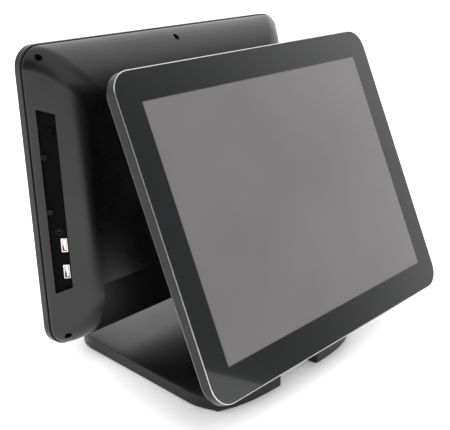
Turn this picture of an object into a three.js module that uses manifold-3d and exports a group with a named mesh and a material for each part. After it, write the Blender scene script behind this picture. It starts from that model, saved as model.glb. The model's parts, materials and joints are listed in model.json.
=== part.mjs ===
// Dual-screen point-of-sale terminal: two identical 15 inch touch screen units, back to back,
// hinged to one cast neck on a low, weighted base. Millimetres, +Z up.
// The origin is on the counter, under the middle of the whole outline. The operator faces +Y,
// the customer faces -Y.
import * as THREE from 'three';
import { mergeVertices } from 'three/addons/utils/BufferGeometryUtils.js';
import Module from 'manifold-3d';

const wasm = await Module();
wasm.setup();

// ---- driving dimensions ----

const GAP = 0.3; // clearance between pieces that touch

// screen unit: x to the viewer's right, y up the glass, z out of the glass, origin on the glass centre
const UNIT_W = 356;
const UNIT_H = 285.4;
const UNIT_R = 20; // corner radius of the outline
const UNIT_DEPTH = 45;
const FRAME_DEPTH = 8.8;
const FRAME_WALL = 2.6;
const CHAMFER = { across: 0.9, deep: 1.2 };
const FRAME_LIP = 0.3; // flat strip between the chamfer and the glass
const SHELF_T = 2; // ledge of the frame that carries the glass
const GLASS_T = 3;
const GLASS_BEVEL = 0.3;
const LCD = { w: 326, h: 253, t: 9 };
const LCD_ROOM = 2; // how much wider the frame's window is than the panel, each way
const CHASSIS = { w: 316, h: 244, t: 1.2 };
const POST = { r: 3, inset: 6, long: 6 }; // board posts on the chassis plate
const BOARD_T = 1.6;
const HEATSINK = { x0: -74, x1: 5.5, y0: 5, y1: 65, t: 3, fin: 2.5, pitch: 11, tall: 12 };
const DRIVE = { x0: 15, x1: 85, y0: -25, y1: 75, t: 7 };

// back shell; a flank's depth is counted from the glass and its inset from the unit's outline
const SHELL_WALL = 2.4;
const SHELL_RIM = 10.2; // depth of the rim; the space up to the frame is a dark groove
const RIM_INSET = 1;
const TONGUE = { inset: 2.4, depth: 9.1 }; // thin lip of the shell that closes the groove
const SLOPE_INSET = 2.1; // where the rolled rim passes into the flank set at 45 degrees
const SLOPE_OFFSET = 11; // the flank is this much deeper than it is inset
const SLOPE_END = 30; // depth at which the flank starts to round over
const SIDE_ROUND = 52; // inset at which the sides reach the flat back
const END_ROUND = 47; // the same at the top and bottom
const END_POWER = 1.65; // superellipse power of the top and bottom flanks
const CORNER_TIGHTEN = 0.1; // how fast the corner radius shrinks as the shell narrows

// poses and hinge axes; a positive lean puts the top of the glass away from its viewer
const FRONT_LEAN = THREE.MathUtils.degToRad(24);
const REAR_LEAN = THREE.MathUtils.degToRad(-3.7);
const FRONT_HINGE = { y: -74, z: 122 };
const REAR_HINGE = { y: -5, z: 144.5 };
const UNIT_HINGE = { y: -45.35, z: -63 }; // the same axis in the unit's own frame
const PIN_R = 5;
const BARREL_R = 10;
const BARREL_HALF = 28;
const EAR_T = 12;
const NUT_T = 5.5;
const HINGE_PLATE = { halfWidth: 50, halfHeight: 34, t: 2 };

// side port recess: a slot with slanting ends, cut square into the 45 degree flank
const RECESS = { inset: 11.8, y: 0.2, half: 8.3, longHalf: 86.9, shortHalf: 81.7, depth: 4 };
const RECESS_WALL = 2.2;
const IO_PLATE_T = 0.8;
const USB = { long: 13.1, short: 5.7, wall: 0.6, deep: 10.5, back: 1.5, tongueSide: 1.4, tongueSunk: 1.2 };
const SOCKET_PROUD = 0.6; // how far the sockets stand out of the plate
const JACK_PROUD = 0.4;
const JACK_R = 3.6;
const JACK_BORE_R = 1.9;
const JACK_DEEP = 8;
const HEX_R = 2.9;
const HEX_SHANK_R = 1.2;
const HEX_HEAD_T = 2.4;
const HEX_BORE_R = 1.1;
const BUTTON_R = 3.9;
const BUTTON_COLLAR_R = 5.3;
const BUTTON_PROUD = 1.6;

// what sits on the recess floor, as x across (towards the back) and y up
const USB_UPPER = { x: 4.1, y: -40.7 };
const USB_LOWER = { x: 3.9, y: -66.5 };
const JACK = { x: 0.5, y: -27.5 };
const HEX_UPPER = { x: -5.3, y: 43.1 };
const HEX_LOWER = { x: -5.4, y: -8 };
const BUTTON = { x: 1.2, y: 66 };

// sunk screw holes in the back of the shell
const SCREW_HOLES = [
  { x: -164.6, y: 132 },
  { x: 0, y: 133.2 },
  { x: 164.6, y: 132 },
  { x: -165, y: -130.9 },
  { x: 165, y: -130.9 },
];
const SCREW_HOLE = { r: 2.9, shankR: 1.7, floor: 15.5, bossR: 5 };

// bottom port bay
const BAY = { half: 135.5, top: -82.8, floor: -22 };
const BAY_WALL = 2.2;
const PORT_PLATE = { half: 116, t: 1.2, zFar: -41.4, zNear: -23 };
const PORT_WINDOW = { half: 110, zFar: -39.5, zNear: -25 };

// base
const BASE_HALF_FRONT = 106.2; // half width at the front corners
const BASE_HALF_REAR = 99.8;
const BASE_FRONT_Y = -119.2;
const BASE_REAR_Y = 117;
const BASE_BOW = 14.2; // how far the front corners lie behind the middle of the front edge
const BASE_CORNER = { out: 0.6, back: 4.5 }; // short upright facet at each front corner
const BASE_HIP = { x: 111.4, y: -66 }; // widest part, where the flared side turns straight
const BASE_FLARE = { x: 114.5, y: -84 }; // control point of that flare
const BASE_REAR_R = 40;
const BASE_RIM_Z = 1.6;
const BASE_EDGE_Z = 11; // top of the upright edge, where it starts to roll over
const BASE_RISE = 8.9;
const BASE_WALL = 2.6;
const NOTCH = { half: 28.6, deep: 25.7, r: 3 }; // cable notch, its mouth flared by a radius
const NECK_SLOT = { halfX: 29, halfY: 23.5 };
const PLATE_T = 1.5;
const PLATE_Z = 2;
const BALLAST = { half: 78, y0: -85, y1: 80, t: 6 };
const FOOT_R = 9;
const PLATE_SCREW = { headR: 3.4, headT: 1.1, shankR: 1.6, long: 8 };
const BOSS_R = 4.2;
const BOSS_BORE_R = 1.9;
const NECK_Y = -40;
const NECK_FOOT = { halfX: 44, halfY: 30, t: 4.2 };
const COLUMN = { halfY: 22, low: 34, high: 76, topR: 20 };
const ARM = { offset: 6, z: 80, r: 14 };
const COVER_WALL = 2.5;
const COVER_RINGS = [
  { halfX: 52, halfY: 36, r: 16, z: 12 },
  { halfX: 46, halfY: 33, r: 15, z: 40 },
  { halfX: 44, halfY: 34, r: 14, z: 90 },
];

// ---- materials ----

function material(color, roughness, metalness) {
  return new THREE.MeshStandardMaterial({ color, roughness, metalness });
}

const SHELL_BLACK = material(0x1b1c1d, 0.42, 0);
const FRAME_GREY = material(0x3a3c3e, 0.3, 0.6);
const GLASS_DARK = material(0x26282a, 0.08, 0);
const PANEL_GREY = material(0x777577, 0.5, 0);
const STEEL = material(0x8d9092, 0.4, 0.9);
const BRIGHT_METAL = material(0xd9d7d2, 0.25, 1);
const BLACK_STEEL = material(0x141414, 0.5, 0.5);
const BOARD_GREEN = material(0x1d4a2c, 0.6, 0);
const ALUMINIUM = material(0xa9abad, 0.45, 0.9);
const RUBBER = material(0x101010, 0.9, 0);
const PORT_BLACK = material(0x0c0c0d, 0.55, 0);

// ---- solid helpers ----

function toSolid(geometry) {
  const bare = geometry.clone();
  bare.deleteAttribute('normal');
  bare.deleteAttribute('uv');
  const merged = mergeVertices(bare, 1e-4);
  return new wasm.Manifold(new wasm.Mesh({
    numProp: 3,
    vertProperties: new Float32Array(merged.attributes.position.array),
    triVerts: new Uint32Array(merged.index.array),
  }));
}

function toGeometry(solid) {
  const cut = solid.getMesh();
  const geometry = new THREE.BufferGeometry();
  geometry.setAttribute('position', new THREE.BufferAttribute(cut.vertProperties, 3));
  geometry.setIndex(new THREE.BufferAttribute(cut.triVerts, 1));
  geometry.computeVertexNormals();
  return geometry;
}

// joins the first list of geometries, then cuts away the second
function joinAndCut(joined, cuts = []) {
  let solid = toSolid(joined[0]);
  for (const geometry of joined.slice(1)) solid = solid.add(toSolid(geometry));
  for (const geometry of cuts) solid = solid.subtract(toSolid(geometry));
  return toGeometry(solid);
}

function piece(name, geometry, surface) {
  const mesh = new THREE.Mesh(geometry, surface);
  mesh.name = name;
  return mesh;
}

// box between two corners
function block(x0, x1, y0, y1, z0, z1) {
  const geometry = new THREE.BoxGeometry(x1 - x0, y1 - y0, z1 - z0);
  return geometry.translate((x0 + x1) / 2, (y0 + y1) / 2, (z0 + z1) / 2);
}

// round rod along X, or a prism of few sides
function rodX(radius, x0, x1, y, z, sides = 20) {
  const geometry = new THREE.CylinderGeometry(radius, radius, x1 - x0, sides);
  return geometry.rotateZ(Math.PI / 2).translate((x0 + x1) / 2, y, z);
}

function rodZ(radius, z0, z1, x, y, sides = 16) {
  const geometry = new THREE.CylinderGeometry(radius, radius, z1 - z0, sides);
  return geometry.rotateX(Math.PI / 2).translate(x, y, (z0 + z1) / 2);
}

// extrudes a shape drawn in the YZ plane from x0 to x1
function slabX(shape, x0, x1, curveSegments = 6) {
  const geometry = new THREE.ExtrudeGeometry(shape, { depth: x1 - x0, bevelEnabled: false, curveSegments });
  const turn = new THREE.Matrix4().makeBasis(
    new THREE.Vector3(0, 1, 0), new THREE.Vector3(0, 0, 1), new THREE.Vector3(1, 0, 0));
  return geometry.applyMatrix4(turn).translate(x0, 0, 0);
}

// one rounded rectangle as a ring of points at height z
function roundedRing(halfW, halfH, radius, z, steps = 6) {
  const points = [];
  for (let corner = 0; corner < 4; corner++) {
    const sx = corner === 0 || corner === 3 ? 1 : -1;
    const sy = corner < 2 ? 1 : -1;
    for (let i = 0; i <= steps; i++) {
      const angle = (corner + i / steps) * Math.PI / 2;
      points.push(new THREE.Vector3(
        sx * (halfW - radius) + radius * Math.cos(angle),
        sy * (halfH - radius) + radius * Math.sin(angle), z));
    }
  }
  return points;
}

// skins a run of rings that have the same number of points; the run is capped, or closed into a hoop
function loft(rings, hoop = false) {
  const count = rings[0].length;
  const positions = rings.flat().flatMap((p) => [p.x, p.y, p.z]);
  const index = [];
  const runs = hoop ? rings.length : rings.length - 1;
  for (let r = 0; r < runs; r++) {
    const low = r * count;
    const high = ((r + 1) % rings.length) * count;
    for (let i = 0; i < count; i++) {
      const j = (i + 1) % count;
      index.push(low + i, low + j, high + j, low + i, high + j, high + i);
    }
  }
  if (!hoop) {
    const ends = [[rings[0], 0, true], [rings.at(-1), (rings.length - 1) * count, false]];
    for (const [ring, start, flip] of ends) {
      const centre = ring.reduce((sum, p) => sum.add(p), new THREE.Vector3()).divideScalar(count);
      const hub = positions.length / 3;
      positions.push(centre.x, centre.y, centre.z);
      for (let i = 0; i < count; i++) {
        const j = (i + 1) % count;
        index.push(hub, start + (flip ? j : i), start + (flip ? i : j));
      }
    }
  }
  const geometry = new THREE.BufferGeometry();
  geometry.setAttribute('position', new THREE.Float32BufferAttribute(positions, 3));
  geometry.setIndex(index);
  geometry.computeVertexNormals();
  return geometry;
}

// ring of a screen unit's outline, moved in by inset
function unitRing(inset, z) {
  return roundedRing(UNIT_W / 2 - inset, UNIT_H / 2 - inset, UNIT_R - inset, z);
}

// ---- screen unit pieces ----

function bezelFrame() {
  const pocket = -GLASS_T - GAP;
  const shelf = pocket - SHELF_T;
  const rim = CHAMFER.across + FRAME_LIP;
  const windowX = LCD.w / 2 + LCD_ROOM;
  const windowY = LCD.h / 2 + LCD_ROOM;
  return loft([
    unitRing(0, -FRAME_DEPTH),
    unitRing(0, -CHAMFER.deep),
    unitRing(CHAMFER.across, 0),
    unitRing(rim, 0),
    unitRing(rim, pocket),
    roundedRing(windowX, windowY, LCD_ROOM, pocket),
    roundedRing(windowX, windowY, LCD_ROOM, shelf),
    unitRing(FRAME_WALL, shelf),
    unitRing(FRAME_WALL, -FRAME_DEPTH),
  ], true);
}

function coverGlass() {
  const inset = CHAMFER.across + FRAME_LIP + GAP;
  return loft([
    unitRing(inset, -GLASS_T),
    unitRing(inset, -GLASS_BEVEL),
    unitRing(inset + GLASS_BEVEL, 0),
  ]);
}

function lcdPanel() {
  const top = -GLASS_T - GAP;
  return block(-LCD.w / 2, LCD.w / 2, -LCD.h / 2, LCD.h / 2, top - LCD.t, top);
}

const CHASSIS_TOP = -GLASS_T - LCD.t - 2 * GAP;
const CHASSIS_BACK = CHASSIS_TOP - CHASSIS.t;
const BOARD_FRONT = CHASSIS_BACK - POST.long;
const BOARD_BACK = BOARD_FRONT - BOARD_T;

// pressed plate with four posts for the board
function chassisPlate(board) {
  const plate = block(
    -CHASSIS.w / 2, CHASSIS.w / 2, -CHASSIS.h / 2, CHASSIS.h / 2, CHASSIS_BACK, CHASSIS_TOP);
  const posts = [];
  for (const sx of [-1, 1]) {
    for (const sy of [-1, 1]) {
      const x = sx * (board.w / 2 - POST.inset);
      const y = board.y + sy * (board.h / 2 - POST.inset);
      posts.push(rodZ(POST.r, BOARD_FRONT + GAP, CHASSIS_BACK + CHASSIS.t / 2, x, y, 10));
    }
  }
  return joinAndCut([plate, ...posts]);
}

function mainBoard(board) {
  const low = board.y - board.h / 2;
  return block(-board.w / 2, board.w / 2, low, low + board.h, BOARD_BACK, BOARD_FRONT);
}

function heatsink() {
  const { x0, x1, y0, y1, t, fin, pitch, tall } = HEATSINK;
  const top = BOARD_BACK - GAP;
  const fins = [];
  for (let x = x0; x + fin <= x1; x += pitch) fins.push(block(x, x + fin, y0, y1, top - tall, top - t / 2));
  return joinAndCut([block(x0, x1, y0, y1, top - t, top), ...fins]);
}

function storageDrive() {
  const top = BOARD_BACK - GAP;
  return block(DRIVE.x0, DRIVE.x1, DRIVE.y0, DRIVE.y1, top - DRIVE.t, top);
}

// inset of the shell's sides at a depth: rolled rim, 45 degree flank, then a curve into the flat back
function sideInset(depth) {
  const slopeStart = SLOPE_INSET + SLOPE_OFFSET;
  if (depth < slopeStart) {
    const roll = (depth - SHELL_RIM) / (slopeStart - SHELL_RIM);
    return RIM_INSET + (SLOPE_INSET - RIM_INSET) * roll ** 2.6;
  }
  const from = SLOPE_END - SLOPE_OFFSET;
  if (depth < SLOPE_END) return depth - SLOPE_OFFSET;
  const t = 1 - Math.sqrt((UNIT_DEPTH - depth) / (UNIT_DEPTH - SLOPE_END));
  const knee = UNIT_DEPTH - SLOPE_OFFSET;
  return from * (1 - t) ** 2 + 2 * knee * t * (1 - t) + SIDE_ROUND * t ** 2;
}

// inset of its top and bottom, which swell along a superellipse
function endInset(depth) {
  const rise = (depth - SHELL_RIM) / (UNIT_DEPTH - SHELL_RIM);
  return RIM_INSET + (END_ROUND - RIM_INSET) * (1 - (1 - rise ** END_POWER) ** (1 / END_POWER));
}

// solid inside the shell's skin, or inside a skin moved in by a wall
function shellSolid(wall, steps) {
  const rings = [];
  for (let i = 0; i <= steps; i++) {
    const share = (1 - Math.cos(Math.PI * i / steps)) / 2;
    const depth = SHELL_RIM + (UNIT_DEPTH - SHELL_RIM) * share;
    const side = sideInset(depth) + wall;
    const end = endInset(depth) + wall;
    const radius = UNIT_R - CORNER_TIGHTEN * side;
    rings.unshift(roundedRing(UNIT_W / 2 - side, UNIT_H / 2 - end, radius, wall * share - depth));
  }
  return loft(rings);
}

// moves geometry from the recess's own frame (z out of its floor) into the unit's frame
function inRecess(geometry) {
  return geometry.rotateY(Math.PI * 0.75)
    .translate(UNIT_W / 2 - RECESS.inset, RECESS.y, -RECESS.inset - SLOPE_OFFSET);
}

// prism with slanting ends, grown by a margin
function recessPrism(margin, z0, z1) {
  const half = RECESS.half + margin;
  const shape = new THREE.Shape();
  shape.moveTo(-half, -RECESS.longHalf - margin);
  shape.lineTo(half, -RECESS.shortHalf - margin);
  shape.lineTo(half, RECESS.shortHalf + margin);
  shape.lineTo(-half, RECESS.longHalf + margin);
  shape.closePath();
  return new THREE.ExtrudeGeometry(shape, { depth: z1 - z0, bevelEnabled: false }).translate(0, 0, z0);
}

// holes for the sockets, the button and the two screws, cut from z0 to z1
function recessHoles(z0, z1) {
  const holes = [];
  for (const usb of [USB_UPPER, USB_LOWER]) {
    const x = USB.short / 2 + GAP;
    const y = USB.long / 2 + GAP;
    holes.push(block(usb.x - x, usb.x + x, usb.y - y, usb.y + y, z0, z1));
  }
  holes.push(rodZ(JACK_R + GAP, z0, z1, JACK.x, JACK.y));
  holes.push(rodZ(BUTTON_R + GAP, z0, z1, BUTTON.x, BUTTON.y));
  for (const hex of [HEX_UPPER, HEX_LOWER]) {
    holes.push(rodZ(HEX_SHANK_R + GAP, z0, z1, hex.x, hex.y, 10));
  }
  return holes;
}

function backShell() {
  const floor = -RECESS.depth;
  const rim = RIM_INSET + SHELL_WALL;
  const tongue = loft([unitRing(TONGUE.inset, -SHELL_RIM - 1), unitRing(TONGUE.inset, -TONGUE.depth)]);
  const mouth = loft([unitRing(rim, -SHELL_RIM - GAP), unitRing(rim, 0)]);
  let hollow = toSolid(shellSolid(SHELL_WALL, 8)).add(toSolid(mouth));
  const kept = [
    inRecess(recessPrism(2, floor - RECESS_WALL, 14)),
    block(-BAY.half - BAY_WALL, BAY.half + BAY_WALL, -160, BAY.top + BAY_WALL, -60, BAY.floor + BAY_WALL),
    ...SCREW_HOLES.map((hole) => rodZ(SCREW_HOLE.bossR, -50, CHASSIS_TOP, hole.x, hole.y)),
  ];
  for (const geometry of kept) hollow = hollow.subtract(toSolid(geometry));
  let shell = toSolid(shellSolid(0, 12)).add(toSolid(tongue)).subtract(hollow);
  const cuts = [
    inRecess(recessPrism(0, floor, 16)),
    ...recessHoles(floor - 8, floor + 2).map(inRecess),
    block(-BAY.half, BAY.half, -160, BAY.top, -60, BAY.floor),
    block(-PORT_WINDOW.half, PORT_WINDOW.half, BAY.top - 1, BAY.top + 4, PORT_WINDOW.zFar, PORT_WINDOW.zNear),
  ];
  for (const { x, y } of SCREW_HOLES) {
    cuts.push(rodZ(SCREW_HOLE.r, -60, -SCREW_HOLE.floor, x, y));
    cuts.push(rodZ(SCREW_HOLE.shankR, -SCREW_HOLE.floor - 1, 0, x, y, 10));
  }
  for (const geometry of cuts) shell = shell.subtract(toSolid(geometry));
  return toGeometry(shell);
}

const IO_FACE = -RECESS.depth + GAP + IO_PLATE_T; // outer face of the recess plate

function ioPlate() {
  const plate = recessPrism(-GAP, IO_FACE - IO_PLATE_T, IO_FACE);
  return inRecess(joinAndCut([plate], recessHoles(-10, 5)));
}

// metal socket shell with its tongue, closed at the inner end
function usbPort(at) {
  const x = USB.short / 2;
  const y = USB.long / 2;
  const face = IO_FACE + SOCKET_PROUD;
  const shell = block(at.x - x, at.x + x, at.y - y, at.y + y, face - USB.deep, face);
  const mouth = block(
    at.x - x + USB.wall, at.x + x - USB.wall, at.y - y + USB.wall, at.y + y - USB.wall,
    face - USB.deep + USB.back, face + 1);
  const reach = y - USB.tongueSide;
  const tongue = block(
    at.x - 0.3, at.x + 1.5, at.y - reach, at.y + reach, face - USB.deep + 1, face - USB.tongueSunk);
  const hollow = toSolid(shell).subtract(toSolid(mouth));
  return inRecess(toGeometry(hollow.add(toSolid(tongue))));
}

function roundJack() {
  const face = IO_FACE + JACK_PROUD;
  const body = rodZ(JACK_R, face - JACK_DEEP, face, JACK.x, JACK.y);
  const bore = rodZ(JACK_BORE_R, face - JACK_DEEP + 1.5, face + 1, JACK.x, JACK.y, 12);
  return inRecess(joinAndCut([body], [bore]));
}

// hex standoff screw: head on the plate, shank through the shell, threaded hole in the head
function ioScrew(at) {
  const seat = IO_FACE + GAP;
  const head = rodZ(HEX_R, seat, seat + HEX_HEAD_T, at.x, at.y, 6);
  const shank = rodZ(HEX_SHANK_R, -RECESS.depth - 4.5, seat + 0.5, at.x, at.y, 10);
  return inRecess(joinAndCut([head, shank], [rodZ(HEX_BORE_R, seat + 0.8, seat + 4, at.x, at.y, 8)]));
}

// stepped push button, held behind the recess floor by its collar
function powerButton() {
  const top = IO_FACE + BUTTON_PROUD;
  const back = -RECESS.depth - RECESS_WALL - GAP;
  const stem = rodZ(BUTTON_R, back - 0.5, top, BUTTON.x, BUTTON.y);
  const collar = rodZ(BUTTON_COLLAR_R, back - 2, back, BUTTON.x, BUTTON.y);
  return inRecess(joinAndCut([stem, collar]));
}

// steel plate on the unit's back with two ears that turn on the hinge pin
function hingePlate() {
  const near = -UNIT_DEPTH - GAP;
  const y0 = UNIT_HINGE.y;
  const z0 = UNIT_HINGE.z;
  const web = near - 1 - z0;
  const ear = new THREE.Shape();
  ear.moveTo(y0 + 18, z0 + web);
  ear.lineTo(y0 - 18, z0 + web);
  ear.lineTo(y0 - BARREL_R, z0);
  ear.absarc(y0, z0, BARREL_R, Math.PI, 2 * Math.PI, false);
  ear.closePath();
  const start = BARREL_HALF + 0.5;
  const { halfWidth, halfHeight, t } = HINGE_PLATE;
  const parts = [block(-halfWidth, halfWidth, y0 - halfHeight, y0 + halfHeight, near - t, near)];
  for (const side of [-1, 1]) {
    const inner = side < 0 ? -start - EAR_T : start;
    parts.push(slabX(ear, inner, inner + EAR_T, 8));
  }
  return joinAndCut(parts, [rodX(PIN_R + GAP, -60, 60, y0, z0)]);
}

// ---- bottom bay sockets: each is drawn with its mouth facing down the glass ----

const DC = { x: -95, half: 7, z0: -38, z1: -26, deep: 13 };
const LAN = { x: -66, half: 8, z0: -39, z1: -25.5, deep: 15 };
const SERIAL = { x: -25, half: 15.4, z0: -38.2, z1: -25.8, deep: 8 };

function portOpening(port, margin, y0, y1) {
  return block(
    port.x - port.half - margin, port.x + port.half + margin, y0, y1, port.z0 - margin, port.z1 + margin);
}

function portPlate(ports) {
  const top = BAY.top - GAP;
  const { half, t, zFar, zNear } = PORT_PLATE;
  const plate = block(-half, half, top - t, top, zFar, zNear);
  return joinAndCut([plate], ports.map((port) => portOpening(port, GAP, top - 10, top + 10)));
}

const PORT_MOUTH = BAY.top - GAP - PORT_PLATE.t - 1; // how far the sockets stand out below the plate

function dcInlet() {
  const body = portOpening(DC, 0, PORT_MOUTH, PORT_MOUTH + DC.deep);
  const bore = new THREE.CylinderGeometry(3.6, 3.6, 22, 14);
  bore.translate(DC.x, PORT_MOUTH, (DC.z0 + DC.z1) / 2);
  const pin = new THREE.CylinderGeometry(1.1, 1.1, 11, 8);
  pin.translate(DC.x, PORT_MOUTH + 7, (DC.z0 + DC.z1) / 2);
  return toGeometry(toSolid(body).subtract(toSolid(bore)).add(toSolid(pin)));
}

function lanPort() {
  const body = portOpening(LAN, 0, PORT_MOUTH, PORT_MOUTH + LAN.deep);
  const mouth = block(LAN.x - 6, LAN.x + 6, PORT_MOUTH - 1, PORT_MOUTH + 12, LAN.z0 + 3.4, LAN.z1 - 2);
  const latch = block(LAN.x - 3, LAN.x + 3, PORT_MOUTH - 1, PORT_MOUTH + 12, LAN.z0 + 1.2, LAN.z0 + 4);
  return joinAndCut([body], [mouth, latch]);
}

// D-shaped nine pin socket with its mounting flange
function serialPort() {
  const middle = (SERIAL.z0 + SERIAL.z1) / 2;
  const flange = portOpening(SERIAL, 0, PORT_MOUTH + 0.4, PORT_MOUTH + SERIAL.deep);
  const d = new THREE.Shape();
  d.moveTo(-8.4, -4.1);
  d.lineTo(8.4, -4.1);
  d.lineTo(7, 4.1);
  d.lineTo(-7, 4.1);
  d.closePath();
  const lip = new THREE.ExtrudeGeometry(d, { depth: 6.4, bevelEnabled: false });
  lip.rotateX(Math.PI / 2).translate(SERIAL.x, PORT_MOUTH + 0.8, middle);
  const throat = new THREE.ExtrudeGeometry(d, { depth: 9, bevelEnabled: false });
  throat.scale(0.91, 0.85, 1).rotateX(Math.PI / 2).translate(SERIAL.x, PORT_MOUTH + 3.2, middle);
  return joinAndCut([flange, lip], [throat]);
}

const FRONT_BOARD = { w: 190, h: 130, y: 15 };
const REAR_BOARD = { w: 120, h: 80, y: 10 };

// one whole screen unit in its own frame
function screenUnit(prefix, board, hasComputer) {
  const unit = new THREE.Group();
  const ports = hasComputer ? [DC, LAN, SERIAL] : [DC, SERIAL];
  unit.add(
    piece(`${prefix}_bezel_frame`, bezelFrame(), FRAME_GREY),
    piece(`${prefix}_cover_glass`, coverGlass(), GLASS_DARK),
    piece(`${prefix}_lcd_panel`, lcdPanel(), PANEL_GREY),
    piece(`${prefix}_chassis_plate`, chassisPlate(board), STEEL),
    piece(`${prefix}_main_board`, mainBoard(board), BOARD_GREEN),
    piece(`${prefix}_back_shell`, backShell(), SHELL_BLACK),
    piece(`${prefix}_io_plate`, ioPlate(), BLACK_STEEL),
    piece(`${prefix}_usb_port_upper`, usbPort(USB_UPPER), BRIGHT_METAL),
    piece(`${prefix}_usb_port_lower`, usbPort(USB_LOWER), BRIGHT_METAL),
    piece(`${prefix}_round_jack`, roundJack(), PORT_BLACK),
    piece(`${prefix}_io_screw_upper`, ioScrew(HEX_UPPER), STEEL),
    piece(`${prefix}_io_screw_lower`, ioScrew(HEX_LOWER), STEEL),
    piece(`${prefix}_power_button`, powerButton(), PORT_BLACK),
    piece(`${prefix}_hinge_plate`, hingePlate(), BLACK_STEEL),
    piece(`${prefix}_port_plate`, portPlate(ports), BLACK_STEEL),
    piece(`${prefix}_dc_inlet`, dcInlet(), PORT_BLACK),
    piece(`${prefix}_serial_port`, serialPort(), BRIGHT_METAL),
  );
  if (hasComputer) {
    unit.add(
      piece(`${prefix}_lan_port`, lanPort(), BRIGHT_METAL),
      piece(`${prefix}_heatsink`, heatsink(), ALUMINIUM),
      piece(`${prefix}_storage_drive`, storageDrive(), STEEL),
    );
  }
  return unit;
}

// hangs a unit on its hinge axis at a given lean; the unit faces -Y
function hangUnit(unit, hinge, lean) {
  const onAxis = new THREE.Group();
  unit.position.set(0, -UNIT_HINGE.y, -UNIT_HINGE.z);
  onAxis.add(unit);
  onAxis.rotation.x = Math.PI / 2 - lean;
  onAxis.position.set(0, hinge.y, hinge.z);
  return onAxis;
}

// ---- base pieces ----

// plan outline of the base, from the left end of its bowed front edge anticlockwise
function baseOutline() {
  const cornerY = BASE_FRONT_Y + BASE_BOW;
  const sideX = BASE_HALF_FRONT + BASE_CORNER.out;
  const sideY = cornerY + BASE_CORNER.back;
  const rearY = BASE_REAR_Y - BASE_REAR_R;
  const rearX = BASE_HALF_REAR - BASE_REAR_R;
  const frontSteps = 6;
  const shape = new THREE.Shape();
  shape.moveTo(-BASE_HALF_FRONT, cornerY);
  for (let i = 1 - frontSteps; i <= frontSteps; i++) {
    const across = i / frontSteps;
    shape.lineTo(BASE_HALF_FRONT * across, BASE_FRONT_Y + BASE_BOW * across ** 4);
  }
  shape.lineTo(sideX, sideY);
  shape.quadraticCurveTo(BASE_FLARE.x, BASE_FLARE.y, BASE_HIP.x, BASE_HIP.y);
  shape.lineTo(BASE_HALF_REAR, rearY);
  shape.absarc(rearX, rearY, BASE_REAR_R, 0, Math.PI / 2, false);
  shape.absarc(-rearX, rearY, BASE_REAR_R, Math.PI / 2, Math.PI, false);
  shape.lineTo(-BASE_HIP.x, BASE_HIP.y);
  shape.quadraticCurveTo(-BASE_FLARE.x, BASE_FLARE.y, -sideX, sideY);
  shape.closePath();
  return shape;
}

const BASE_POINTS = baseOutline().getPoints(4).slice(0, -1);

function baseRing(scale, z) {
  return BASE_POINTS.map((p) => new THREE.Vector3(p.x * scale, p.y * scale, z));
}

// domed slab: an upright edge that rolls over into a shallow crown
function baseDome(inset, bottom, drop, steps = 8) {
  const rings = [baseRing(1 - inset, bottom)];
  for (let i = 0; i < steps; i++) {
    const t = i / steps;
    const scale = Math.sqrt(1 - t ** 2.5) - inset;
    rings.push(baseRing(scale, BASE_EDGE_Z - drop + BASE_RISE * t ** 0.915));
  }
  return loft(rings);
}

const BOSSES = [{ x: 91, y: -58 }, { x: 84, y: 66 }];

// makes one thing at each point and one at its mirror image across the middle
function bothSides(points, make) {
  return points.flatMap((p) => [make(-p.x, p.y, 'left'), make(p.x, p.y, 'right')]);
}

// the cable notch in the front edge, grown by a margin
function notchBlock(margin, z0, z1) {
  const { half, deep, r } = NOTCH;
  const x = half + margin;
  const mouth = x + r;
  const front = BASE_FRONT_Y - 10;
  const shape = new THREE.Shape();
  shape.moveTo(-mouth, front);
  shape.lineTo(mouth, front);
  shape.lineTo(mouth, BASE_FRONT_Y);
  shape.absarc(mouth, BASE_FRONT_Y + r, r, -Math.PI / 2, -Math.PI, true);
  shape.lineTo(x, BASE_FRONT_Y + deep + margin);
  shape.lineTo(-x, BASE_FRONT_Y + deep + margin);
  shape.lineTo(-x, BASE_FRONT_Y + r);
  shape.absarc(-mouth, BASE_FRONT_Y + r, r, 0, -Math.PI / 2, true);
  shape.closePath();
  const depth = z1 - z0;
  const geometry = new THREE.ExtrudeGeometry(shape, { depth, bevelEnabled: false, curveSegments: 5 });
  return geometry.translate(0, 0, z0);
}

function baseShell() {
  let hollow = toSolid(baseDome(BASE_WALL / BASE_HIP.x, BASE_RIM_Z - 1, BASE_WALL, 5));
  hollow = hollow.subtract(toSolid(notchBlock(BASE_WALL, -5, 40)));
  for (const boss of bothSides(BOSSES, (x, y) => rodZ(BOSS_R, PLATE_Z + PLATE_T + GAP, 30, x, y, 12))) {
    hollow = hollow.subtract(toSolid(boss));
  }
  let shell = toSolid(baseDome(0, BASE_RIM_Z, 0)).subtract(hollow);
  shell = shell.subtract(toSolid(notchBlock(0, -5, 40)));
  const { halfX, halfY } = NECK_SLOT;
  shell = shell.subtract(toSolid(block(-halfX, halfX, NECK_Y - halfY, NECK_Y + halfY, 12, 40)));
  for (const bore of bothSides(BOSSES, (x, y) => rodZ(BOSS_BORE_R, 0, 10, x, y, 10))) {
    shell = shell.subtract(toSolid(bore));
  }
  return toGeometry(shell);
}

function basePlate() {
  const scale = 1 - (BASE_WALL + 0.6) / BASE_HALF_REAR;
  const plate = loft([baseRing(scale, PLATE_Z), baseRing(scale, PLATE_Z + PLATE_T)]);
  const holes = bothSides(BOSSES, (x, y) => rodZ(BOSS_BORE_R, 0, 10, x, y, 10));
  return joinAndCut([plate], [notchBlock(BASE_WALL + 0.5, -5, 40), ...holes]);
}

function ballastPlate() {
  const z0 = PLATE_Z + PLATE_T + GAP;
  return block(-BALLAST.half, BALLAST.half, BALLAST.y0, BALLAST.y1, z0, z0 + BALLAST.t);
}

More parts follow.
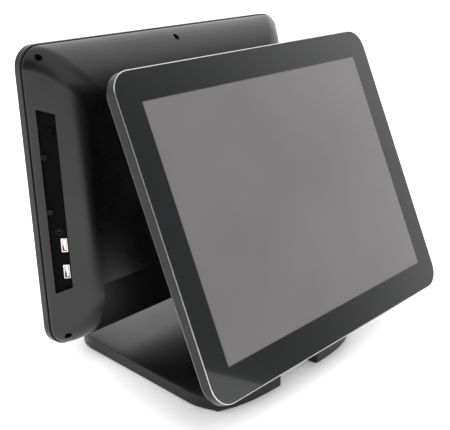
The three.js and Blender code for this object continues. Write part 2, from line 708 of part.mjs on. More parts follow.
function plateScrew(x, y) {
  const seat = PLATE_Z - GAP;
  const { headR, headT, shankR, long } = PLATE_SCREW;
  const low = seat - headT;
  const tip = seat + long;
  const profile = [[0, low], [headR - 0.6, low], [headR, seat], [shankR, seat], [shankR, tip - 1], [0, tip]];
  const geometry = new THREE.LatheGeometry(profile.map(([r, z]) => new THREE.Vector2(r, z)), 12);
  return geometry.rotateX(Math.PI / 2).translate(x, y, 0);
}

// outline that hugs two circles, drawn in the YZ plane
function link(a, ra, b, rb) {
  const along = Math.atan2(b.z - a.z, b.y - a.y);
  const spread = Math.acos((ra - rb) / Math.hypot(b.y - a.y, b.z - a.z));
  const shape = new THREE.Shape();
  shape.absarc(b.y, b.z, rb, along - spread, along + spread, false);
  shape.absarc(a.y, a.z, ra, along + spread, along - spread + 2 * Math.PI, false);
  shape.closePath();
  return shape;
}

// cast neck: a foot inside the base, one column, and an arm to each hinge barrel
function neckBracket() {
  const foot = PLATE_Z + PLATE_T + 2 * GAP + BALLAST.t;
  const low = { y: NECK_Y, z: COLUMN.low };
  const top = { y: NECK_Y, z: COLUMN.high };
  const frontRoot = { y: NECK_Y - ARM.offset, z: ARM.z };
  const rearRoot = { y: NECK_Y + ARM.offset, z: ARM.z };
  const y0 = NECK_Y - NECK_FOOT.halfY;
  const y1 = NECK_Y + NECK_FOOT.halfY;
  const joined = [
    block(-NECK_FOOT.halfX, NECK_FOOT.halfX, y0, y1, foot, foot + NECK_FOOT.t),
    block(-BARREL_HALF, BARREL_HALF, NECK_Y - COLUMN.halfY, NECK_Y + COLUMN.halfY, foot + 2, low.z),
    slabX(link(low, COLUMN.halfY, top, COLUMN.topR), -BARREL_HALF, BARREL_HALF),
    slabX(link(frontRoot, ARM.r, FRONT_HINGE, BARREL_R), -BARREL_HALF, BARREL_HALF, 10),
    slabX(link(rearRoot, ARM.r, REAR_HINGE, BARREL_R), -BARREL_HALF, BARREL_HALF, 10),
  ];
  const bores = [FRONT_HINGE, REAR_HINGE].map((hinge) => rodX(PIN_R + GAP, -60, 60, hinge.y, hinge.z));
  return joinAndCut(joined, bores);
}

// moulded shroud round the column, trimmed to sit on the crown of the base
function neckCover() {
  const ring = ({ halfX, halfY, r, z }, inset) => roundedRing(halfX - inset, halfY - inset, r - inset, z)
    .map((p) => p.add(new THREE.Vector3(0, NECK_Y, 0)));
  const outside = COVER_RINGS.map((size) => ring(size, 0));
  const inside = COVER_RINGS.map((size) => ring(size, COVER_WALL)).reverse();
  return joinAndCut([loft([...outside, ...inside], true)], [baseDome(0, BASE_RIM_Z, -GAP)]);
}

function hingePin(hinge) {
  const half = BARREL_HALF + EAR_T + NUT_T + 3;
  return rodX(PIN_R, -half, half, hinge.y, hinge.z);
}

function hingeNut(hinge, side) {
  const inner = BARREL_HALF + EAR_T + 1;
  const x0 = side < 0 ? -inner - NUT_T : inner;
  const bore = rodX(PIN_R + GAP, x0 - 1, x0 + NUT_T + 1, hinge.y, hinge.z);
  return joinAndCut([rodX(8.4, x0, x0 + NUT_T, hinge.y, hinge.z, 6)], [bore]);
}

const FEET = [
  { row: 'front', points: [{ x: 84, y: -84 }] },
  { row: 'rear', points: [{ x: 72, y: 92 }] },
];

function basePieces() {
  const base = new THREE.Group();
  base.add(
    piece('base_shell', baseShell(), SHELL_BLACK),
    piece('base_plate', basePlate(), BLACK_STEEL),
    piece('ballast_plate', ballastPlate(), STEEL),
    piece('neck_bracket', neckBracket(), BLACK_STEEL),
    piece('neck_cover', neckCover(), SHELL_BLACK),
    piece('front_hinge_pin', hingePin(FRONT_HINGE), STEEL),
    piece('rear_hinge_pin', hingePin(REAR_HINGE), STEEL),
  );
  for (const [row, hinge] of [['front', FRONT_HINGE], ['rear', REAR_HINGE]]) {
    base.add(piece(`${row}_hinge_nut_left`, hingeNut(hinge, -1), STEEL));
    base.add(piece(`${row}_hinge_nut_right`, hingeNut(hinge, 1), STEEL));
  }
  for (const { row, points } of FEET) {
    base.add(...bothSides(points, (x, y, side) => (
      piece(`foot_${row}_${side}`, rodZ(FOOT_R, 0, PLATE_Z - GAP, x, y), RUBBER))));
  }
  for (const [i, row] of ['front', 'rear'].entries()) {
    base.add(...bothSides([BOSSES[i]], (x, y, side) => (
      piece(`plate_screw_${row}_${side}`, plateScrew(x, y), STEEL))));
  }
  return base;
}

// ---- assembly ----

const terminal = new THREE.Group();
terminal.add(basePieces());
terminal.add(hangUnit(screenUnit('front', FRONT_BOARD, true), FRONT_HINGE, FRONT_LEAN));

// the customer's unit is the same one, turned round to face +Y
const customerSide = new THREE.Group();
customerSide.rotation.z = Math.PI;
const turnedHinge = { y: -REAR_HINGE.y, z: REAR_HINGE.z };
customerSide.add(hangUnit(screenUnit('rear', REAR_BOARD, false), turnedHinge, REAR_LEAN));
terminal.add(customerSide);

// moves the origin under the middle of the outline
const extent = new THREE.Box3().setFromObject(terminal, true);
terminal.position.y = -(extent.min.y + extent.max.y) / 2;

export default terminal;
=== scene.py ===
"""Looks for the dual-screen point-of-sale terminal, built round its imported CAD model."""
import json
import math
import bmesh
import bpy
import numpy as np
from mathutils import Matrix, Vector


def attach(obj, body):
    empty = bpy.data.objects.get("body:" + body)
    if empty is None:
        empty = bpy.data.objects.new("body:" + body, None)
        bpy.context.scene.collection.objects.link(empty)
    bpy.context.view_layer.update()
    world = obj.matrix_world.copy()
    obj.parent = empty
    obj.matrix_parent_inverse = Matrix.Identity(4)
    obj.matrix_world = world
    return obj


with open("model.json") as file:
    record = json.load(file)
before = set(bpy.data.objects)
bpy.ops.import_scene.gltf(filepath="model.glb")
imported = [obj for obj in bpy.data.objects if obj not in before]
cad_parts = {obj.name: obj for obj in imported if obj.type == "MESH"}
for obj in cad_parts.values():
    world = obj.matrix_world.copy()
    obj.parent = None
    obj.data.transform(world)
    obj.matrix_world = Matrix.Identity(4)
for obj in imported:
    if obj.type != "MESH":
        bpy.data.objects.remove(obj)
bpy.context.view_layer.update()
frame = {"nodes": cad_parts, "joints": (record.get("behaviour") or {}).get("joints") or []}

MM = 0.001

# ---------------------------------------------------------------- camera

CAMERA_AT = (-0.6486, -0.5707, 0.4440)
CAMERA_TURN = math.radians(49.12)  # clockwise from +Y, seen from above
CAMERA_DIP = math.radians(18.32)
CAMERA_LENS = 72.37
CAMERA_SHIFT = (-0.0256, -0.0204)
SENSOR_WIDTH = 36
NEAR, FAR = 0.01, 100


def make_camera():
    data = bpy.data.cameras.new("view")
    data.lens = CAMERA_LENS
    data.sensor_width = SENSOR_WIDTH
    data.shift_x, data.shift_y = CAMERA_SHIFT
    data.clip_start, data.clip_end = NEAR, FAR
    camera = bpy.data.objects.new("view", data)
    camera.location = CAMERA_AT
    camera.rotation_euler = (math.pi / 2 - CAMERA_DIP, 0, -CAMERA_TURN)
    bpy.context.scene.collection.objects.link(camera)
    bpy.context.scene.camera = camera
    bpy.context.scene.view_settings.view_transform = "Standard"


make_camera()

# ---------------------------------------------------------------- the screen units' own frames

UNIT_LEAN = {"front": 24, "rear": -3.7}  # degrees, top of the glass away from its viewer
UNIT_FACES = {"front": 1, "rear": -1}  # 1 looks along -Y, -1 along +Y
HINGE_BELOW_CENTRE = 0.04535
HINGE_BEHIND_GLASS = 0.063


def unit_matrix(prefix):
    """x across the glass, y up it, z out of it, with the origin on the glass centre."""
    lean = math.radians(UNIT_LEAN[prefix])
    side = UNIT_FACES[prefix]
    across = Vector((side, 0, 0))
    up = Vector((0, side * math.sin(lean), math.cos(lean)))
    out = Vector((0, -side * math.cos(lean), math.sin(lean)))
    joint = next(j for j in frame["joints"] if j["name"] == prefix + "_tilt")
    origin = Vector(joint["pos_m"]) + HINGE_BELOW_CENTRE * up + HINGE_BEHIND_GLASS * out
    matrix = Matrix((across, up, out)).transposed().to_4x4()
    matrix.translation = origin
    return matrix


UNIT = {prefix: unit_matrix(prefix) for prefix in ("front", "rear")}

# the port recess in a unit's 45 degree flank: z out of its floor, y up the glass
RECESS_AT = Vector((166.2, 0.2, -22.8)) * MM
RECESS_TURN = Matrix.Rotation(math.radians(135), 4, "Y")
RECESS_IN_UNIT = Matrix.Translation(RECESS_AT) @ RECESS_TURN

# ---------------------------------------------------------------- material building


MIDDLE = (0.3, 0.7)  # where most values of a noise lie
BEVEL_SAMPLES = 4
FLAT_DOT, EDGE_DOT = 0.99, 0.8  # flat and rounded normals' dot product, away from an edge and on one


class Paint:
    """A node material with one Principled shader, and short calls for the nodes that feed it."""

    def __init__(self, name, **fixed):
        self.material = bpy.data.materials.new(name)
        self.material.use_nodes = True
        self.tree = self.material.node_tree
        self.shader = self.tree.nodes["Principled BSDF"]
        for socket, value in fixed.items():
            self.shader.inputs[socket.replace("_", " ")].default_value = value

    def node(self, kind, **settings):
        made = self.tree.nodes.new(kind)
        for name, value in settings.items():
            setattr(made, name, value)
        return made

    def feed(self, socket, value):
        if isinstance(value, bpy.types.NodeSocket):
            self.tree.links.new(value, socket)
        else:
            socket.default_value = value

    def drive(self, name, value):
        self.feed(self.shader.inputs[name], value)

    def place(self, prefix=None):
        """Rest position: in the row's frame, or in a screen unit's frame."""
        spot = self.node("ShaderNodeTexCoord").outputs["Object"]
        if prefix is None:
            return spot
        inverse = UNIT[prefix].inverted()
        mapping = self.node("ShaderNodeMapping", vector_type="POINT")
        mapping.inputs["Location"].default_value = inverse.to_translation()
        mapping.inputs["Rotation"].default_value = inverse.to_euler("XYZ")
        self.feed(mapping.inputs["Vector"], spot)
        return mapping.outputs["Vector"]

    def split(self, vector):
        parts = self.node("ShaderNodeSeparateXYZ")
        self.feed(parts.inputs[0], vector)
        return parts.outputs

    def stretch(self, vector, scale):
        mapping = self.node("ShaderNodeMapping")
        mapping.inputs["Scale"].default_value = scale
        self.feed(mapping.inputs["Vector"], vector)
        return mapping.outputs["Vector"]

    def math(self, operation, a, b=0.0):
        made = self.node("ShaderNodeMath", operation=operation)
        self.feed(made.inputs[0], a)
        self.feed(made.inputs[1], b)
        return made.outputs[0]

    def noise(self, vector, size, detail=2.0, rough=0.5, warp=0.0):
        """Noise with features of about the given size in metres."""
        made = self.node("ShaderNodeTexNoise")
        made.inputs["Scale"].default_value = 1 / size
        made.inputs["Detail"].default_value = detail
        made.inputs["Roughness"].default_value = rough
        made.inputs["Distortion"].default_value = warp
        self.feed(made.inputs["Vector"], vector)
        return made.outputs["Fac"]

    def cells(self, vector, size):
        made = self.node("ShaderNodeTexVoronoi", feature="SMOOTH_F1")
        made.inputs["Scale"].default_value = 1 / size
        self.feed(made.inputs["Vector"], vector)
        return made.outputs["Distance"]

    def scale(self, value, low, high, to_low=0.0, to_high=1.0, smooth=True):
        made = self.node("ShaderNodeMapRange")
        made.interpolation_type = "SMOOTHSTEP" if smooth else "LINEAR"
        self.feed(made.inputs["Value"], value)
        for name, number in (("From Min", low), ("From Max", high), ("To Min", to_low), ("To Max", to_high)):
            self.feed(made.inputs[name], number)
        return made.outputs["Result"]

    def mix_numbers(self, factor, a, b):
        made = self.node("ShaderNodeMix", data_type="FLOAT")
        for socket, value in zip(made.inputs, (factor, None, a, b)):
            if value is not None:
                self.feed(socket, value)
        return made.outputs[0]

    def mix(self, factor, a, b):
        made = self.node("ShaderNodeMix", data_type="RGBA")
        self.feed(made.inputs["Factor"], factor)
        colours = [s for s in made.inputs if s.type == "RGBA"]
        for socket, value in zip(colours, (a, b)):
            self.feed(socket, value)
        return next(s for s in made.outputs if s.type == "RGBA")

    def edges(self, radius):
        """About 0 on flat faces and up to 1 on edges tighter than the radius; also the rounded normal."""
        soft = self.node("ShaderNodeBevel", samples=BEVEL_SAMPLES)
        soft.inputs["Radius"].default_value = radius
        hard = self.node("ShaderNodeNewGeometry")
        dot = self.node("ShaderNodeVectorMath", operation="DOT_PRODUCT")
        self.feed(dot.inputs[0], soft.outputs["Normal"])
        self.feed(dot.inputs[1], hard.outputs["Normal"])
        return self.scale(dot.outputs["Value"], FLAT_DOT, EDGE_DOT), soft.outputs["Normal"]

    def relief(self, layers, normal=None):
        """Bump from a list of (height, distance in metres, strength)."""
        for height, distance, strength in layers:
            bump = self.node("ShaderNodeBump")
            bump.inputs["Distance"].default_value = distance
            bump.inputs["Strength"].default_value = strength
            self.feed(bump.inputs["Height"], height)
            if normal is not None:
                self.feed(bump.inputs["Normal"], normal)
            normal = bump.outputs["Normal"]
        self.drive("Normal", normal)


def grey(level, warm=0.0):
    return (level * (1 + warm), level, level * (1 - warm), 1)


def box_mask(paint, parts, half_x, half_y, centre_y, blur):
    """1 inside a rectangle of the unit's face, 0 outside, with an edge as wide as blur."""
    x = paint.math("SUBTRACT", paint.math("ABSOLUTE", parts[0]), half_x)
    y = paint.math("SUBTRACT", paint.math("ABSOLUTE", paint.math("SUBTRACT", parts[1], centre_y)), half_y)
    return paint.scale(paint.math("MAXIMUM", x, y), blur / 2, -blur / 2)


# ---------------------------------------------------------------- materials


CLOUD_SIZE = 60 * MM
RUB_SIZE = 12 * MM


def moulded_plastic(name, level, rough, grain=0.7 * MM, depth=0.03 * MM, edge=0.6 * MM, wear=0.35, gloss=0.5):
    """Black moulded plastic: spark-eroded grain, uneven sheen, and corners rubbed a little smoother."""
    paint = Paint(name, Specular_IOR_Level=gloss)
    spot = paint.place()
    cloud = paint.noise(spot, CLOUD_SIZE, detail=4, rough=0.55)
    fine = paint.noise(spot, grain, detail=3, rough=0.6)
    pits = paint.cells(spot, grain * 1.6)
    rub, rounded = paint.edges(edge)
    tone = paint.mix(paint.scale(cloud, *MIDDLE), grey(level * 0.82, 0.01), grey(level * 1.2, 0.01))
    tone = paint.mix(paint.scale(fine, 0.35, 0.75, 0, 0.35), tone, grey(level * 2.1))
    patches = paint.scale(paint.noise(spot, RUB_SIZE, detail=3), 0.35, 0.7, 0, wear)
    worn = paint.math("MULTIPLY", rub, patches)
    paint.drive("Base Color", paint.mix(worn, tone, grey(level * 4.5, 0.02)))
    sheen = paint.scale(cloud, 0.25, 0.75, rough - 0.05, rough + 0.06)
    sheen = paint.math("SUBTRACT", sheen, paint.math("MULTIPLY", worn, 0.12))
    paint.drive("Roughness", sheen)
    paint.relief([(fine, depth, 0.5), (pits, depth * 0.7, 0.35)], rounded)
    return paint.material


CUT_FROM, CUT_FULL = -0.72 * MM, -0.6 * MM  # from the glass: the cut takes the paint off in front of it
COAT_LEVELS = (0.013, 0.018)
COAT_FLAKE = 0.05
CUT_COLOURS = ((0.46, 0.455, 0.445, 1), (0.62, 0.615, 0.60, 1))
COAT_METALLIC = 0.55
COAT_ROUGH = (0.30, 0.38)
CUT_ROUGH = (0.16, 0.27)


def frame_metal(name, prefix):
    """Satin grey painted frame with a thin bright diamond cut round its front edge."""
    paint = Paint(name, Specular_IOR_Level=0.28)
    local = paint.place(prefix)
    parts = paint.split(local)
    _, rounded = paint.edges(0.4 * MM)
    bright = paint.scale(parts[2], CUT_FROM, CUT_FULL)
    cloud = paint.noise(local, 50 * MM, detail=4)
    flake = paint.noise(local, 0.35 * MM, detail=2, rough=0.7)
    run = paint.noise(paint.stretch(local, (1, 1, 30)), 4 * MM, detail=3)
    coat = paint.mix(paint.scale(cloud, *MIDDLE), grey(COAT_LEVELS[0], -0.02), grey(COAT_LEVELS[1], -0.01))
    coat = paint.mix(paint.scale(flake, 0.5, 0.8, 0, 0.4), coat, grey(COAT_FLAKE))
    cut = paint.mix(paint.scale(run, *MIDDLE), *CUT_COLOURS)
    paint.drive("Base Color", paint.mix(bright, coat, cut))
    paint.drive("Metallic", paint.scale(bright, 0, 1, COAT_METALLIC, 1.0, smooth=False))
    satin = paint.scale(cloud, *MIDDLE, *COAT_ROUGH)
    polished = paint.scale(run, *MIDDLE, *CUT_ROUGH)
    paint.drive("Roughness", paint.mix_numbers(bright, satin, polished))
    paint.relief([(flake, 0.01 * MM, 0.35)], rounded)
    return paint.material


ACTIVE_HALF = (304.1 / 2 * MM, 228.1 / 2 * MM)
ACTIVE_RISE = 0.45 * MM  # its middle above the glass's
PRINT_BLUR = 0.25 * MM
# painted shadow: the panel is darkened in a soft band this wide along the inside of the window's edge,
# standing in for the shadow of the panel's frame
RIM_SHADOW_WIDTH = 0.9 * MM
RIM_SHADOW_BLUR = 1.6 * MM
RIM_SHADOW_LEVEL = 0.06
INK_LEVELS = (0.0045, 0.0065)
INK_ROUGH = 0.10
PANEL_COLOURS = ((0.070, 0.066, 0.067, 1), (0.080, 0.076, 0.077, 1))
PANEL_SPECK = (0.088, 0.086, 0.086, 1)
PANEL_ROUGH = (0.34, 0.46)


def touch_glass(name, prefix):
    """Gloss cover glass: black print round the edge, and the dark grey panel seen through the window, with a
    painted shadow darkening the panel in a soft band along the inside of the window's edge.
    """
    paint = Paint(name, Coat_Weight=1.0, Coat_Roughness=0.025, Coat_IOR=1.5, Specular_IOR_Level=0.2)
    local = paint.place(prefix)
    parts = paint.split(local)
    window = box_mask(paint, parts, *ACTIVE_HALF, ACTIVE_RISE, PRINT_BLUR)
    inside = [half - RIM_SHADOW_WIDTH for half in ACTIVE_HALF]
    # painted shadow mask: 1 over the panel, falling to 0 in the band along the window's edge
    shade = box_mask(paint, parts, *inside, ACTIVE_RISE, RIM_SHADOW_BLUR)
    cloud = paint.noise(local, 120 * MM, detail=3)
    speck = paint.noise(local, 0.5 * MM, detail=1)
    ink = paint.mix(paint.scale(speck, *MIDDLE), *(grey(level, -0.06) for level in INK_LEVELS))
    panel = paint.mix(paint.scale(cloud, *MIDDLE), *PANEL_COLOURS)
    panel = paint.mix(paint.scale(speck, *MIDDLE, 0, 0.25), panel, PANEL_SPECK)
    # painted shadow: the darker grey of the band along the window's edge, mixed into the panel
    panel_with_rim_shadow = paint.mix(shade, grey(RIM_SHADOW_LEVEL, 0.02), panel)
    paint.drive("Base Color", paint.mix(window, ink, panel_with_rim_shadow))
    smear = paint.noise(paint.stretch(local, (1, 0.45, 1)), 30 * MM, detail=5, rough=0.6, warp=0.6)
    smeared = paint.scale(smear, 0.3, 0.75, *PANEL_ROUGH)
    paint.drive("Roughness", paint.mix_numbers(window, INK_ROUGH, smeared))
    ripple = paint.noise(local, 90 * MM, detail=1)
    bump = paint.node("ShaderNodeBump")
    bump.inputs["Distance"].default_value = 0.06 * MM
    bump.inputs["Strength"].default_value = 0.3
    paint.feed(bump.inputs["Height"], ripple)
    paint.drive("Coat Normal", bump.outputs["Normal"])
    return paint.material


STAIN_SIZE = 15 * MM
STAINED_METALLIC = 0.94


def metal(name, colour, rough, grain=1.2 * MM, stretch=(1, 1, 1), depth=0.02 * MM):
    """Bare or plated metal with a drawn grain, stains and brighter edges."""
    paint = Paint(name)
    spot = paint.place()
    drawn = paint.noise(paint.stretch(spot, stretch), grain, detail=3, rough=0.6)
    stain = paint.noise(spot, STAIN_SIZE, detail=4)
    rub, rounded = paint.edges(0.3 * MM)
    dark = tuple(c * 0.72 for c in colour[:3]) + (1,)
    light = tuple(min(1, c * 1.12) for c in colour[:3]) + (1,)
    tone = paint.mix(paint.scale(stain, *MIDDLE), dark, colour)
    tone = paint.mix(paint.scale(drawn, 0.35, 0.7, 0, 0.5), tone, light)
    paint.drive("Base Color", paint.mix(paint.math("MULTIPLY", rub, 0.6), tone, light))
    paint.drive("Metallic", paint.scale(stain, 0.2, 0.8, 1.0, STAINED_METALLIC))
    paint.drive("Roughness", paint.scale(drawn, *MIDDLE, rough - 0.06, rough + 0.08))
    paint.relief([(drawn, depth, 0.4)], rounded)
    return paint.material


def powder_coat(name, level=0.007, gloss=0.5, rough=0.42):
    """Black powder coat: fine orange peel, a little dusty in the hollows."""
    paint = Paint(name, Specular_IOR_Level=gloss)
    spot = paint.place()
    peel = paint.cells(spot, 1.1 * MM)
    cloud = paint.noise(spot, 20 * MM, detail=4)
    rub, rounded = paint.edges(0.5 * MM)
    tone = paint.mix(paint.scale(cloud, *MIDDLE), grey(level), grey(level * 1.7))
    worn = paint.math("MULTIPLY", rub, paint.scale(cloud, 0.4, 0.7, 0, 0.5))
    paint.drive("Base Color", paint.mix(worn, tone, grey(level * 6)))
    paint.drive("Roughness", paint.scale(cloud, *MIDDLE, rough, rough + 0.13))
    paint.relief([(peel, 0.06 * MM, 0.4)], rounded)
    return paint.material


def board_green(name):
    """Solder mask over copper: traces, pads and a faint weave."""
    paint = Paint(name)
    spot = paint.place()
    brick = paint.node("ShaderNodeTexBrick", offset=0.37, squash=0.6)
    brick.inputs["Scale"].default_value = 120
    brick.inputs["Mortar Size"].default_value = 0.09
    paint.feed(brick.inputs["Vector"], spot)
    weave = paint.noise(spot, 0.8 * MM, detail=1)
    mask = paint.mix(paint.scale(weave, *MIDDLE), (0.012, 0.075, 0.032, 1), (0.020, 0.105, 0.045, 1))
    traced = paint.mix(paint.math("MULTIPLY", brick.outputs["Fac"], 0.6), mask, (0.05, 0.2, 0.08, 1))
    paint.drive("Base Color", traced)
    paint.drive("Roughness", paint.scale(weave, *MIDDLE, 0.28, 0.4))
    paint.relief([(brick.outputs["Fac"], 0.04 * MM, 0.5)])
    return paint.material


def rubber(name):
    """Matt black rubber, crumbly close up and a little dusty."""
    paint = Paint(name, Specular_IOR_Level=0.3)
    spot = paint.place()
    crumb = paint.noise(spot, 0.9 * MM, detail=3, rough=0.65)
    dust = paint.noise(spot, 7 * MM, detail=4)
    paint.drive("Base Color", paint.mix(paint.scale(dust, 0.4, 0.75), grey(0.011), grey(0.03, 0.04)))
    paint.drive("Roughness", paint.scale(crumb, *MIDDLE, 0.72, 0.88))
    paint.relief([(crumb, 0.08 * MM, 0.6)])
    return paint.material


SHELL = moulded_plastic("shell_plastic", 0.0010, 0.30)
BASE = moulded_plastic("base_plastic", 0.0025, 0.38, grain=0.8 * MM, gloss=0.38)
NECK = moulded_plastic("neck_plastic", 0.005, 0.36)
PORT = moulded_plastic("port_plastic", 0.002, 0.5, grain=0.4 * MM, depth=0.01 * MM, edge=0.2 * MM,
                       wear=0.15, gloss=0.12)
STEEL = metal("steel_sheet", (0.50, 0.51, 0.52, 1), 0.36, stretch=(0.08, 1, 1))
PIN = metal("pin_steel", (0.52, 0.52, 0.53, 1), 0.28, stretch=(1, 0.1, 0.1))
ZINC = metal("zinc_screw", (0.55, 0.55, 0.56, 1), 0.3, grain=0.6 * MM)
NICKEL = metal("bright_nickel", (0.86, 0.83, 0.77, 1), 0.2, grain=0.5 * MM, depth=0.01 * MM)
FIN = metal("heatsink_aluminium", (0.60, 0.61, 0.62, 1), 0.42, stretch=(1, 0.1, 1))
CAN = metal("panel_can", (0.42, 0.42, 0.41, 1), 0.38, grain=2 * MM, stretch=(0.1, 1, 1))
POWDER = powder_coat("black_powder_coat")
PLATE = powder_coat("recess_plate_coat", level=0.001, gloss=0.04, rough=0.55)
BLACK_ZINC = metal("black_zinc_screw", (0.014, 0.014, 0.015, 1), 0.24, grain=0.6 * MM)
GOLD = metal("gold_contact", (0.83, 0.62, 0.28, 1), 0.22, grain=0.4 * MM, depth=0.005 * MM)
GREEN = board_green("board_mask")
RUBBER = rubber("foot_rubber")
FRAME = {prefix: frame_metal(prefix + "_frame_metal", prefix) for prefix in UNIT}
GLASS = {prefix: touch_glass(prefix + "_touch_glass", prefix) for prefix in UNIT}

# ends of node names, first match wins
FINISH = (
    ("base_shell", BASE), ("neck_cover", NECK), ("neck_bracket", POWDER), ("base_plate", POWDER),
    ("ballast_plate", STEEL), ("hinge_pin", PIN), ("hinge_nut_left", ZINC), ("hinge_nut_right", ZINC),
    ("back_shell", SHELL), ("lcd_panel", CAN), ("chassis_plate", STEEL), ("main_board", GREEN),
    ("io_plate", PLATE), ("usb_port_upper", NICKEL), ("usb_port_lower", NICKEL), ("round_jack", PORT),
    ("io_screw_upper", BLACK_ZINC), ("io_screw_lower", BLACK_ZINC), ("power_button", PLATE),
    ("hinge_plate", POWDER), ("port_plate", POWDER), ("dc_inlet", PORT), ("serial_port", NICKEL),
    ("lan_port", NICKEL), ("heatsink", FIN), ("storage_drive", STEEL),
)


def finish_for(name):
    prefix = name.split("_")[0]
    if name.endswith("bezel_frame"):
        return FRAME[prefix]
    if name.endswith("cover_glass"):
        return GLASS[prefix]
    if name.startswith("foot_"):
        return RUBBER
    if name.startswith("plate_screw"):
        return ZINC
    return next(surface for ending, surface in FINISH if name.endswith(ending))


# ---------------------------------------------------------------- smooth shading of the CAD nodes


WELD_GRID = 1e6  # points within a micrometre of each other are one point


def shade_by_angle(mesh, limit):
    """Corner normals averaged over the neighbouring faces that meet at less than the limit."""
    mesh.update()
    count = len(mesh.polygons)
    corner_vertex = np.empty(len(mesh.loops), np.int64)
    mesh.loops.foreach_get("vertex_index", corner_vertex)
    points = np.empty(len(mesh.vertices) * 3)
    mesh.vertices.foreach_get("co", points)
    points = points.reshape(-1, 3)
    normals = np.empty(count * 3)
    mesh.polygons.foreach_get("normal", normals)
    normals = normals.reshape(-1, 3)
    corners = corner_vertex.reshape(count, 3)
    shape = points[corners]
    areas = np.linalg.norm(np.cross(shape[:, 1] - shape[:, 0], shape[:, 2] - shape[:, 0]), axis=1)
    meets = {}
    keys = np.round(points * WELD_GRID).astype(np.int64)
    for face in range(count):
        for vertex in corners[face]:
            meets.setdefault(tuple(keys[vertex]), []).append(face)
    cosine = math.cos(limit)
    result = np.empty((count * 3, 3))
    for face in range(count):
        for k, vertex in enumerate(corners[face]):
            near = np.array(meets[tuple(keys[vertex])])
            near = near[normals[near] @ normals[face] > cosine]
            total = (normals[near] * areas[near, None]).sum(0)
            length = np.linalg.norm(total)
            result[face * 3 + k] = total / length if length > 0 else normals[face]
    mesh.polygons.foreach_set("use_smooth", [True] * count)
    mesh.normals_split_custom_set([tuple(n) for n in result])


SMOOTH_LIMIT = math.radians(32)

for name, node in frame["nodes"].items():
    node.data.materials.clear()
    node.data.materials.append(finish_for(name))
    shade_by_angle(node.data, SMOOTH_LIMIT)

# ---------------------------------------------------------------- small added pieces


def add_piece(name, points, faces, matrix, body, slot, surface):
    """A piece whose points lie in the row's frame, so that its material sits where the CAD's does."""
    mesh = bpy.data.meshes.new(name)
    mesh.from_pydata([matrix @ Vector(p) for p in points], [], faces)
    shell = bmesh.new()
    shell.from_mesh(mesh)
    bmesh.ops.recalc_face_normals(shell, faces=shell.faces)
    shell.to_mesh(mesh)
    shell.free()
    mesh.materials.append(surface)
    mesh.polygons.foreach_set("use_smooth", [True] * len(mesh.polygons))
    mesh.set_sharp_from_angle(angle=SMOOTH_LIMIT)
    piece = bpy.data.objects.new(name, mesh)
    bpy.context.scene.collection.objects.link(piece)
    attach(piece, body)
    return piece


def lathe(profile, steps):
    """Closed turned form about z from (radius, height) pairs; the first and last lie on the axis."""
    points = [(0, 0, profile[0][1])]
    faces = []
    for radius, height in profile[1:-1]:
        for k in range(steps):
            angle = 2 * math.pi * k / steps
            points.append((radius * math.cos(angle), radius * math.sin(angle), height))
    points.append((0, 0, profile[-1][1]))
    last = len(points) - 1
    rows = len(profile) - 2
    for k in range(steps):
        j = (k + 1) % steps
        faces.append((0, 1 + j, 1 + k))
        for row in range(rows - 1):
            low, high = 1 + row * steps, 1 + (row + 1) * steps
            faces.append((low + k, low + j, high + j, high + k))
        top = 1 + (rows - 1) * steps
        faces.append((top + k, top + j, last))
    return points, faces


def ease(value, low, high):
    """0 at low and 1 at high, smooth between; low may be the larger."""
    t = min(max((value - low) / (high - low), 0), 1)
    return t * t * (3 - 2 * t)


HEAD_R = 2.5 * MM
HEAD_H = 1.7 * MM
HEAD_SEAT_R = 0.94 * HEAD_R
HEAD_SEAT_H = 0.12 * HEAD_H
HEAD_SIDE_H = 0.3 * HEAD_H
HEAD_RINGS = 15
HEAD_STEPS = 40
DOME_POWER = 2.6
CROSS_HALF = 0.32 * MM
CROSS_REACH = 1.45 * MM
CROSS_DEPTH = 0.95 * MM
CROSS_SIDE = (1.5 * CROSS_HALF, 0.6 * CROSS_HALF)  # where an arm's side wall starts and ends
CROSS_END = (1.08 * CROSS_REACH, 0.8 * CROSS_REACH)


def pan_head():
    """Domed screw head with a cross recess sunk in its crown, seated at z 0."""
    profile = [(0, 0), (HEAD_SEAT_R, 0), (HEAD_R, HEAD_SEAT_H), (HEAD_R, HEAD_SIDE_H)]
    for k in range(1, HEAD_RINGS):
        part = 1 - k / HEAD_RINGS
        dome = (1 - part ** DOME_POWER) ** 0.5
        profile.append((HEAD_R * part, HEAD_SIDE_H + (HEAD_H - HEAD_SIDE_H) * dome))
    profile.append((0, HEAD_H))
    points, faces = lathe(profile, HEAD_STEPS)
    sunk = []
    for x, y, z in points:
        a, b = abs(x), abs(y)
        arm_x = ease(a, *CROSS_SIDE) * ease(b, *CROSS_END)
        arm_y = ease(b, *CROSS_SIDE) * ease(a, *CROSS_END)
        crown = 1 if z > 0.5 * HEAD_H else 0
        sunk.append((x, y, z - crown * CROSS_DEPTH * max(arm_x, arm_y)))
    return sunk, faces


def bars(boxes, chamfer):
    """Several small bars in one piece, each with its corners cut; a box is (centre, half size)."""
    points, faces = [], []
    for centre, half in boxes:
        made = bmesh.new()
        bmesh.ops.create_cube(made, size=2)
        for vertex in made.verts:
            vertex.co = Vector([c + h * v for c, h, v in zip(centre, half, vertex.co)])
        bmesh.ops.bevel(made, geom=made.edges[:], offset=chamfer, segments=2, affect="EDGES")
        made.verts.ensure_lookup_table()
        start = len(points)
        points += [tuple(v.co) for v in made.verts]
        faces += [tuple(start + v.index for v in f.verts) for f in made.faces]
        made.free()
    return points, faces


ROD_STEPS = 14


